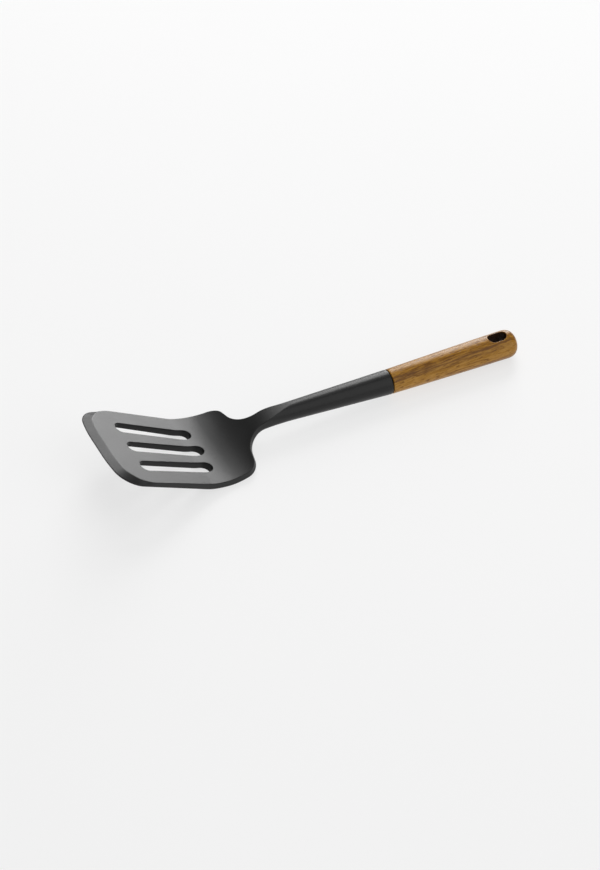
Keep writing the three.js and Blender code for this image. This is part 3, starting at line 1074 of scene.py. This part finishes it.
@dataclass(frozen=True)
class WoodHandle:
    """The turned handle with its rounded end and long hang hole. Millimetres."""

    length: float = 96.4
    joint_diameter: float = 17.1
    waist_diameter: float = 18.2
    end_diameter: float = 19.6
    dome: float = 8.2
    dome_power: float = 0.8
    edge: float = 0.5
    gap: float = 0.3
    hole_length: float = 13.4
    hole_width: float = 8.2
    hole_inset: float = 14.2
    hole_ease: float = 0.7
    hole_room: float = 3.0
    wall_shares: Shares = (0.05, 0.3, 0.7, 0.95)
    columns: int = 144
    front_rows: int = 8
    body_rows: int = 60
    dome_rows: int = 31
    rim_points: int = 9

    def outline(self) -> tuple[Array, Array]:
        """Side view of the turned shape: front face, small edge, swell, fuller than round end.

        The swell is a parabola through the joint, the waist and the dome's start.

        Returns:
            Distances along the handle and the radii there. The swell starts after the
            front rows.
        """
        start = self.length - self.dome
        body = np.linspace(self.gap + self.edge, start, self.body_rows)
        angle = np.linspace(0.0, math.pi / 2, self.dome_rows)[1:]
        turn = np.linspace(0.0, math.pi / 2, self.front_rows - 2)
        rim = self.joint_diameter / 2 - self.edge
        front_x = np.concatenate([[self.gap] * 3, self.gap + self.edge * (1 - np.cos(turn))])
        front_r = np.concatenate([[0.0, 3.0, rim - 0.4], rim + self.edge * np.sin(turn)])
        end_x = start + self.dome * np.sin(angle) ** self.dome_power
        end_r = self.end_diameter / 2 * np.maximum(np.cos(angle), 0.0) ** self.dome_power
        end_r[-1] = 0.0
        at = np.array([self.gap + self.edge, self.length / 3, start])
        size = np.array([self.joint_diameter, self.waist_diameter, self.end_diameter]) / 2
        swell = np.polyval(np.polyfit(at, size, 2), body[1:])
        return np.concatenate([front_x, body[1:], end_x]), np.concatenate([front_r, swell, end_r])

    def hole_strip(self, plan: Array) -> tuple[Array, Array]:
        """The faces round the hang hole and its wall, from the handle's top to its underside.

        Args:
            plan: loop of points round the hole, as distances along and across.

        Returns:
            Points as loop by strip by along, across, up, and how deep in the hole each is.
        """
        x, r = (values[self.front_rows :] for values in self.outline())
        middle, run = self.length - self.hole_inset, (self.hole_length - self.hole_width) / 2
        hole = LongHole((middle - run, 0.0), (middle + run, 0.0), self.hole_width / 2)
        foot, out = hole.spokes(plan)
        brim = foot + out * (hole.radius + self.hole_ease)

        def on_top(at: Array) -> Array:
            """Points of the handle's upper side above a plan."""
            height = arc_height(np.interp(at[..., 0], x, r), at[..., 1])
            return stack(*apart(at), height)

        sharp = on_top(foot + out * hole.radius)
        drop = np.array([0.0, 0.0, self.hole_ease])
        over = eased_corner(on_top(brim), sharp, sharp - drop, self.rim_points)
        upper = np.concatenate([on_top(mix(plan[:, None], brim[:, None], RIM_STEPS)), over], axis=1)
        lower = upper[:, ::-1] * np.array([1.0, 1.0, -1.0])
        wall = mix(upper[:, -1:], lower[:, :1], np.array(self.wall_shares)[:, None])
        strip = np.concatenate([upper, wall, lower], axis=1)
        return strip, hole.shade(strip, foot, self.hole_ease / 4)

    def build(self, head: SiliconeHead) -> bpy.types.Object:
        """Builds the handle as one skin: the outline turned about the axis, with the hole.

        Args:
            head: the head that the handle is fixed to.

        Returns:
            The handle's object.
        """
        x, r = self.outline()
        turn = np.linspace(0.0, 2 * math.pi, self.columns + 1)
        turn[-1] = 0.0
        grid = stack(x[:, None], r[:, None] * np.cos(turn), r[:, None] * np.sin(turn))
        reach = self.hole_length / 2 + self.hole_room
        limits = self.length - self.hole_inset + np.array([-reach, reach])
        rows = np.searchsorted(x[self.front_rows :], limits) + self.front_rows
        first, last = rows.tolist()
        right, left, half = self.columns // 8, 3 * self.columns // 8, self.columns // 2
        keep = np.ones((x.size - 1, self.columns), dtype=bool)
        keep[first:last, right:left] = False
        keep[first:last, right + half : left + half] = False
        upper = block_loop(grid, (first, last), (right, left))
        strip, shade = self.hole_strip(upper[:, :2])
        x, _, z = head.axis(head.joint)
        at_joint = Lie(-math.radians(head.handle_angle), x, z)
        skin = Skin()
        skin.add_grid(ON_TABLE.place(at_joint.place(grid)), keep)
        skin.add_grid(ON_TABLE.place(at_joint.place(strip)), shade=shade)
        return skin.to_object("handle_skin")


@dataclass(frozen=True)
class Turner:
    """The whole turner: the skins that stand for the solids, and the finishes."""

    head: SiliconeHead = SiliconeHead()
    handle: WoodHandle = WoodHandle()

    def dress(self, piece: bpy.types.Object, material: bpy.types.Material) -> None:
        """Gives a piece its one finish."""
        piece.data.materials.clear()
        piece.data.materials.append(material)
        LOG.info("%s: finished in %s", piece.name, material.name)

    def build(self) -> None:
        """Builds the visible pieces over their solids and dresses the hidden ones."""
        head = self.head.build()
        self.dress(head, SiliconeFinish().material())
        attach(head, "root")
        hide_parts("silicone_head")
        handle = self.handle.build(self.head)
        self.dress(handle, WoodFinish().material())
        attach(handle, "root")
        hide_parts("wood_handle")
        self.dress(frame["nodes"]["core"], NYLON.material())
        self.dress(frame["nodes"]["epoxy_bond"], EPOXY.material())


@dataclass(frozen=True)
class SoftBox:
    """A studio light: a lit rectangle that faces a point of the table."""

    name: str
    place: Triple
    size: Pair
    power: float
    aim: Triple = (-0.05, 0.0, 0.03)

    def build(self) -> None:
        """Sets the light up."""
        data = bpy.data.lights.new(self.name, "AREA")
        data.shape = "RECTANGLE"
        data.size, data.size_y = self.size
        data.energy = self.power
        lamp = bpy.data.objects.new(self.name, data)
        lamp.location = self.place
        sight = Vector(self.aim) - Vector(self.place)
        lamp.rotation_euler = sight.to_track_quat("-Z", "Y").to_euler()
        bpy.context.scene.collection.objects.link(lamp)


@dataclass(frozen=True)
class Studio:
    """Pale table, soft lights and the camera of the photograph."""

    azimuth: float = math.radians(-25.962)
    elevation: float = math.radians(42.798)
    distance: float = 2.095
    target: Triple = (-0.01704, 0.0, 0.0103)
    target_pixel: Pair = (288.19, 416.042)
    focal_pixels: float = 3162.9
    table_size: float = 4.0
    table_height: float = -0.0001
    table_glow: float = 0.68
    sky: float = 0.255
    lights: tuple[SoftBox, ...] = (
        SoftBox("back_box", (1.203, 1.682, 0.751), (0.96, 1.65), 34.5),
        SoftBox("rear_box", (0.421, 1.131, 1.335), (0.92, 0.61), 7.7),
        SoftBox("front_box", (0.88, -1.524, 1.321), (2.2, 2.65), 19.8),
        SoftBox("top_box", (0.1, 0.35, 2.2), (1.2, 1.2), 5.9),
    )

    def build_camera(self) -> None:
        """Sets the camera so that the target falls on its pixel, with no roll and no shift."""
        az, el = self.azimuth, self.elevation
        back = Vector((math.sin(az) * math.cos(el), -math.cos(az) * math.cos(el), math.sin(el)))
        right = Vector((math.cos(az), math.sin(az), 0.0))
        up = back.cross(right)
        across = (IMAGE_SIZE[0] / 2 - self.target_pixel[0]) / self.focal_pixels
        down = (IMAGE_SIZE[1] / 2 - self.target_pixel[1]) / self.focal_pixels
        data = bpy.data.cameras.new("camera")
        data.sensor_width = 36.0
        data.lens = self.focal_pixels * data.sensor_width / max(IMAGE_SIZE)
        data.clip_end = 50.0
        camera = bpy.data.objects.new("camera", data)
        camera.location = Vector(self.target) + back * self.distance
        forward = -back + right * across - up * down
        camera.rotation_euler = forward.to_track_quat("-Z", "Y").to_euler()
        bpy.context.scene.collection.objects.link(camera)
        bpy.context.scene.camera = camera

    def build_table(self) -> None:
        """Lays the table: one plane with a faint cloudy tone."""
        span = np.linspace(-self.table_size / 2, self.table_size / 2, 3)
        skin = Skin()
        skin.add_grid(stack(span[:, None], span, self.table_height))
        table = skin.to_object("table")
        sheet = NodeSheet("pale_table")
        cloud = sheet.noise((3.0, 3.0, 3.0), 2.0)
        sockets = {
            "Base Color": sheet.blend(cloud, (0.24, 0.24, 0.24, 1.0), (0.26, 0.26, 0.26, 1.0)),
            "Roughness": 0.9 + cloud * 0.05,
            "Specular IOR Level": 0.1,
            "Emission Color": (1.0, 1.0, 1.0, 1.0),
            "Emission Strength": self.table_glow,
        }
        table.data.materials.append(sheet.finish(sockets, cloud, 0.0))

    def build_light(self) -> None:
        """Sets up the soft lights and a dim even sky."""
        for light in self.lights:
            light.build()
        world = bpy.data.worlds.new("studio")
        world.use_nodes = True
        sky = world.node_tree.nodes["Background"]
        sky.inputs["Color"].default_value = (1.0, 1.0, 1.0, 1.0)
        sky.inputs["Strength"].default_value = self.sky
        bpy.context.scene.world = world
        bpy.context.scene.view_settings.view_transform = "Standard"


def main() -> None:
    """Builds the turner and the studio."""
    logging.basicConfig(level=logging.INFO, format="%(name)s %(message)s")
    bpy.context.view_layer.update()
    studio = Studio()
    studio.build_camera()
    Turner().build()
    studio.build_table()
    studio.build_light()


if __name__ == "__main__":
    main()
